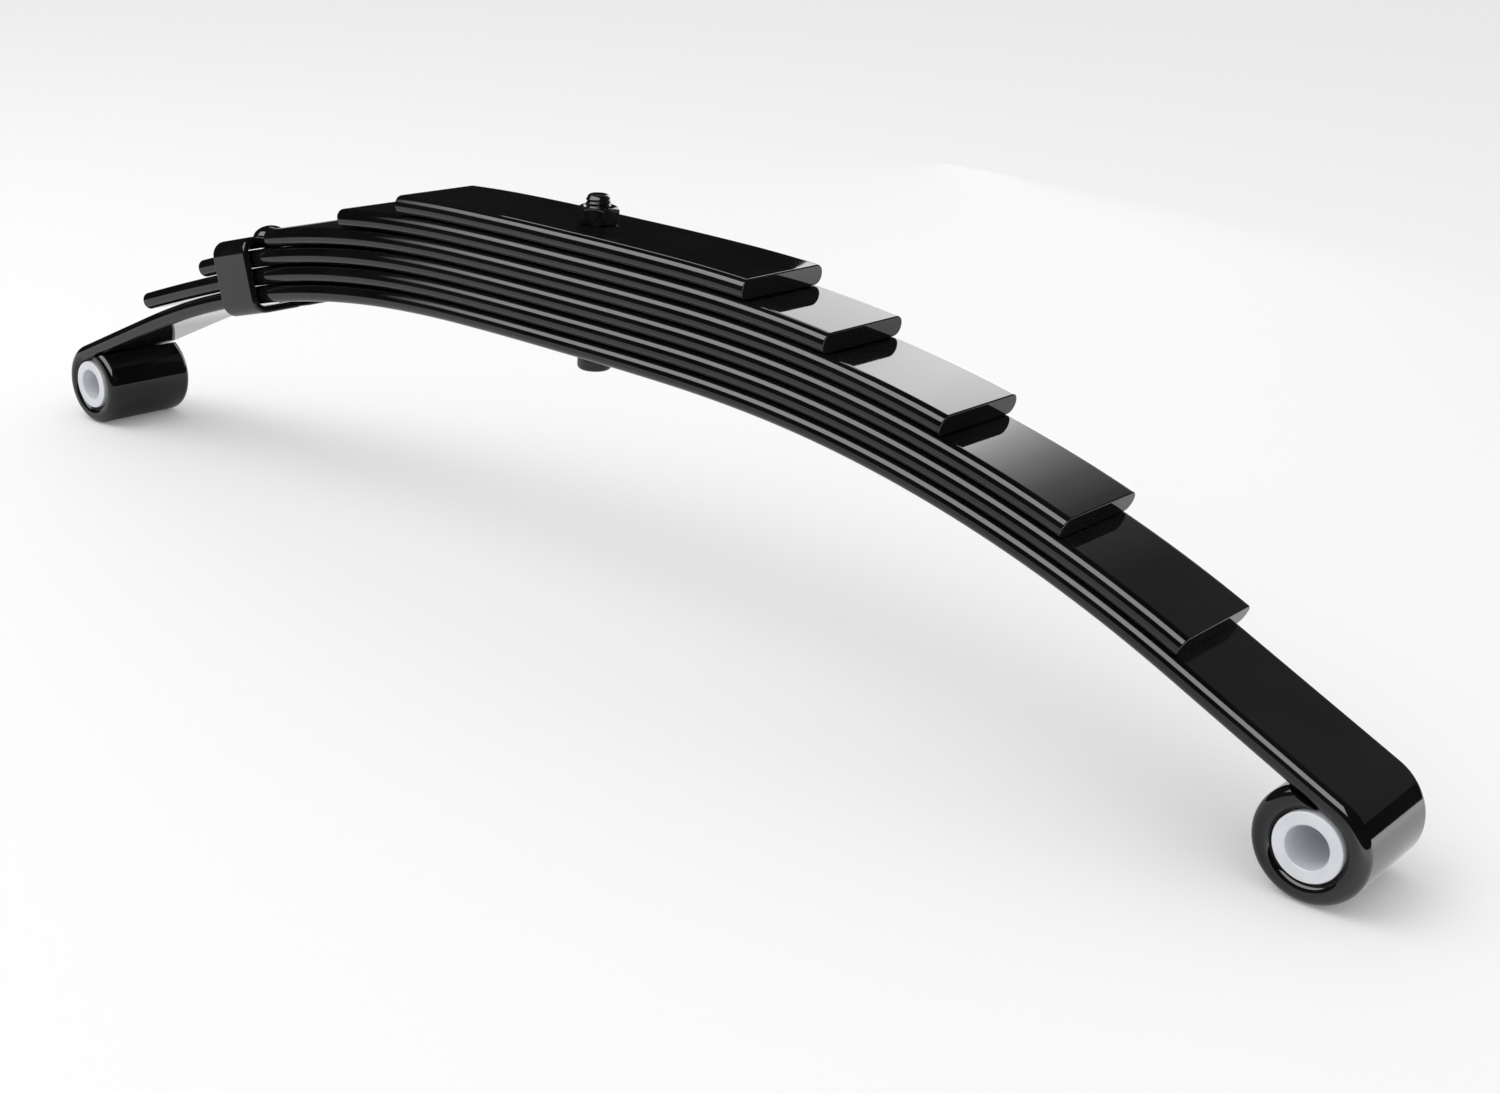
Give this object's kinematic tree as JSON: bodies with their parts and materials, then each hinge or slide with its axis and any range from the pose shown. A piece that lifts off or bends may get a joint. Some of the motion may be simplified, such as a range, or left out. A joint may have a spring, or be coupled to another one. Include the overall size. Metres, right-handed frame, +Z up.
{
  "type": "leaf spring",
  "caption": "Semi-elliptic trailer leaf spring: stepped steel leaves, rolled eyes with nylon bushes, centre bolt with nut, and a riveted rebound clip.",
  "frame": {"origin": "on the line of the centre bolt, at the height of the eyes' lowest points", "axes": "+X along the spring to its front eye, +Y across the leaves, +Z up through the centre bolt to the nut"},
  "size_m": [0.6796, 0.0528, 0.1609],
  "materials": {
    "leaf_paint": "gloss",
    "clip_paint": "gloss",
    "bolt_paint": "satin",
    "bush_nylon": "satin"
  },
  "bodies": {
    "leaf_pack": {"main_leaf": "leaf_paint", "leaf_2": "leaf_paint", "leaf_3": "leaf_paint", "leaf_4": "leaf_paint", "leaf_5": "leaf_paint", "leaf_6": "leaf_paint", "centre_bolt": "bolt_paint", "centre_nut": "bolt_paint", "rebound_clip": "clip_paint", "clip_rivet": "clip_paint"},
    "front_eye": {"front_bush": "bush_nylon"},
    "rear_eye": {"rear_bush": "bush_nylon"}
  },
  "joints": [
    {"name": "front_flex", "type": "hinge", "parent": "leaf_pack", "child": "front_eye", "pos_m": [0.16038, 0, 0.09516], "axis": [0, -1, 0], "range_deg": [0, 18], "stiffness_Nm_per_rad": 3150, "deforming": ["main_leaf", "leaf_2", "leaf_3", "leaf_4", "leaf_5"]},
    {"name": "rear_flex", "type": "hinge", "parent": "leaf_pack", "child": "rear_eye", "pos_m": [-0.16038, 0, 0.09516], "axis": [0, 1, 0], "range_deg": [0, 18], "stiffness_Nm_per_rad": 3150, "deforming": ["main_leaf", "leaf_2", "leaf_3", "leaf_4", "leaf_5"]}
  ]
}
